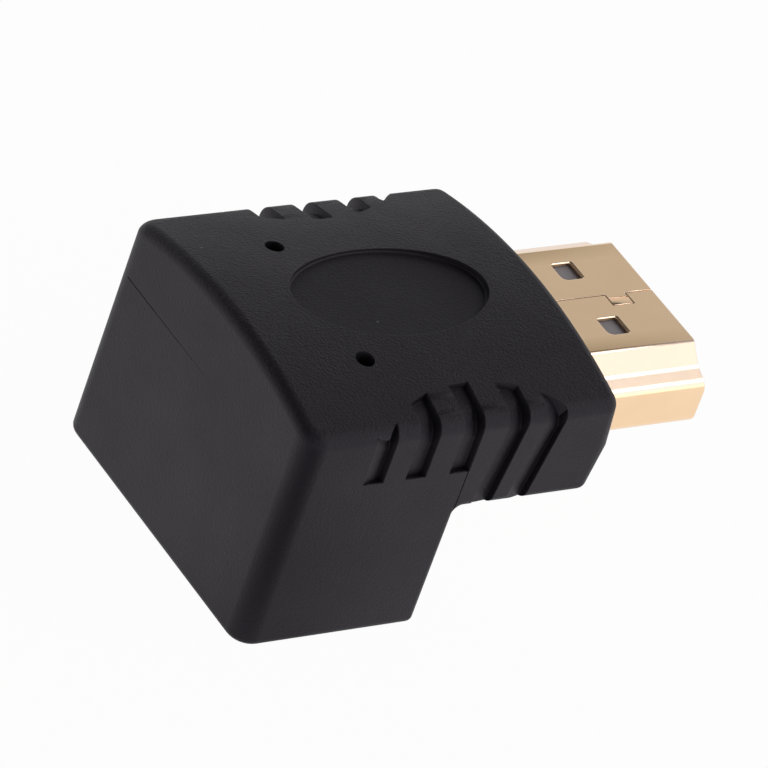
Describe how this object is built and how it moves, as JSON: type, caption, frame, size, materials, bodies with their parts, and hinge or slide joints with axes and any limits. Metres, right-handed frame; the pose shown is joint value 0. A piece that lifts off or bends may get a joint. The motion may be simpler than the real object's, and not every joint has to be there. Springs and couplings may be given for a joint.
{
  "type": "right-angle video adapter",
  "caption": "Right-angle video adapter: a moulded black elbow with ribbed grips and a crowned top, a gold plug on its arm and a matching socket in the end of its leg.",
  "frame": {"origin": "middle of the bottom of the bounding box, level with the flat end of the leg", "axes": "+X along the plug towards its tip, +Z out of the crowned top face, Y across the adapter; the plane Y = 0 is the plane of symmetry of the body"},
  "size_m": [0.0308, 0.0206, 0.0165],
  "materials": {
    "moulded_black": "matte",
    "gold_plate": "satin",
    "contact_gold": "polished",
    "insulator_resin": "satin",
    "inner_mould_resin": "satin",
    "board_laminate": "satin"
  },
  "bodies": {
    "root": {"body": "moulded_black", "inner_mould": "inner_mould_resin", "circuit_board": "board_laminate", "plug_shell": "gold_plate", "plug_insulator": "insulator_resin", "socket_shell": "gold_plate", "socket_insulator": "insulator_resin", "plug_contact_01": "contact_gold", "socket_contact_01": "contact_gold", "plug_contact_02": "contact_gold", "socket_contact_02": "contact_gold", "plug_contact_03": "contact_gold", "socket_contact_03": "contact_gold", "plug_contact_04": "contact_gold", "socket_contact_04": "contact_gold", "plug_contact_05": "contact_gold", "socket_contact_05": "contact_gold", "plug_contact_06": "contact_gold", "socket_contact_06": "contact_gold", "plug_contact_07": "contact_gold", "socket_contact_07": "contact_gold", "plug_contact_08": "contact_gold", "socket_contact_08": "contact_gold", "plug_contact_09": "contact_gold", "socket_contact_09": "contact_gold", "plug_contact_10": "contact_gold", "socket_contact_10": "contact_gold", "plug_contact_11": "contact_gold", "socket_contact_11": "contact_gold", "plug_contact_12": "contact_gold", "socket_contact_12": "contact_gold", "plug_contact_13": "contact_gold", "socket_contact_13": "contact_gold", "plug_contact_14": "contact_gold", "socket_contact_14": "contact_gold", "plug_contact_15": "contact_gold", "socket_contact_15": "contact_gold", "plug_contact_16": "contact_gold", "socket_contact_16": "contact_gold", "plug_contact_17": "contact_gold", "socket_contact_17": "contact_gold", "plug_contact_18": "contact_gold", "socket_contact_18": "contact_gold", "plug_contact_19": "contact_gold", "socket_contact_19": "contact_gold"}
  },
  "joints": []
}
